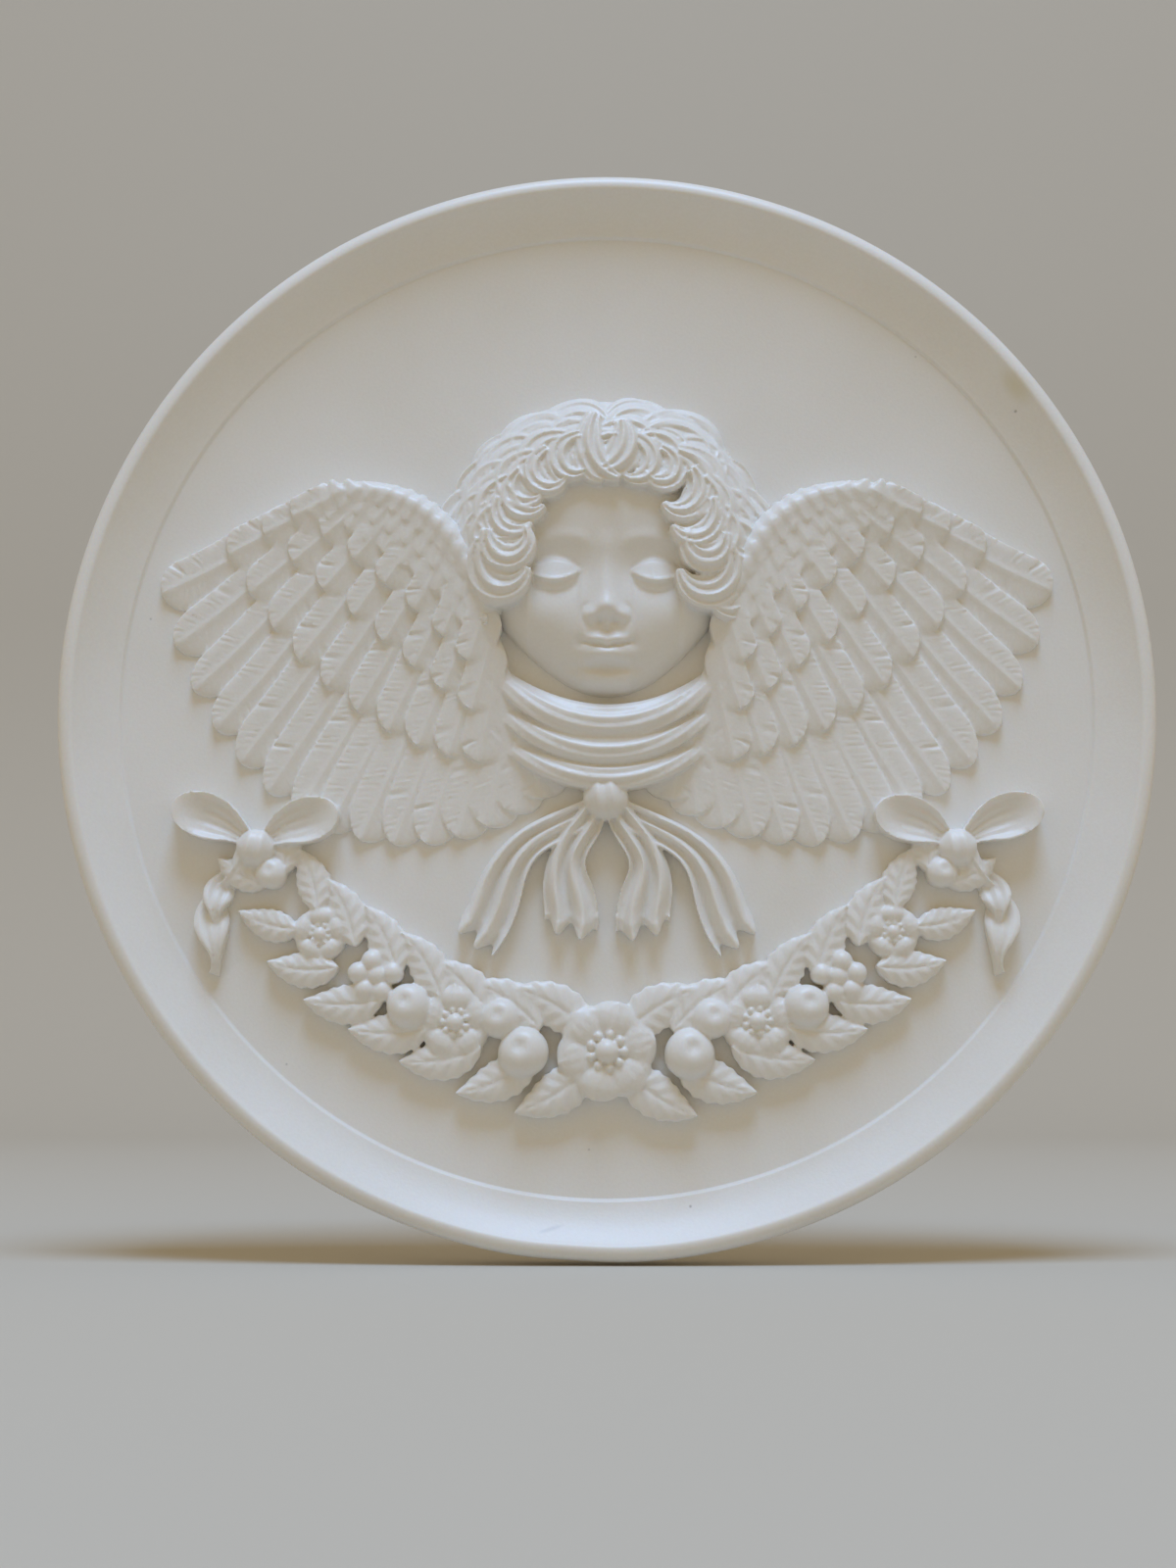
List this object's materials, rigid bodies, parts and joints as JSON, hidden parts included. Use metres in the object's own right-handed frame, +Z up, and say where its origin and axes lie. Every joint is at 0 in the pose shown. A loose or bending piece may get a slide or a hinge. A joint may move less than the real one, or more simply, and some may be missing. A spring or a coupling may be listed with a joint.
{
  "type": "cherub wall plaque",
  "caption": "Round wall plaque with a shallow dished front and rounded lip, a low relief of a winged cherub head above a garland hung from ribbon bows, and a foot ring behind.",
  "frame": {"origin": "top of the foot ring's flat rear face, midway between the two cord holes, where the plaque hangs on the wall", "axes": "+Y into the wall, normal to the plaque; the relief faces -Y; +Z up the plaque; +X to the viewer's right"},
  "size_m": [0.145, 0.0165, 0.145],
  "materials": {
    "bisque_porcelain": "unglazed, matt, fine grained white"
  },
  "bodies": {
    "root": {"plaque": "bisque_porcelain"}
  },
  "joints": []
}
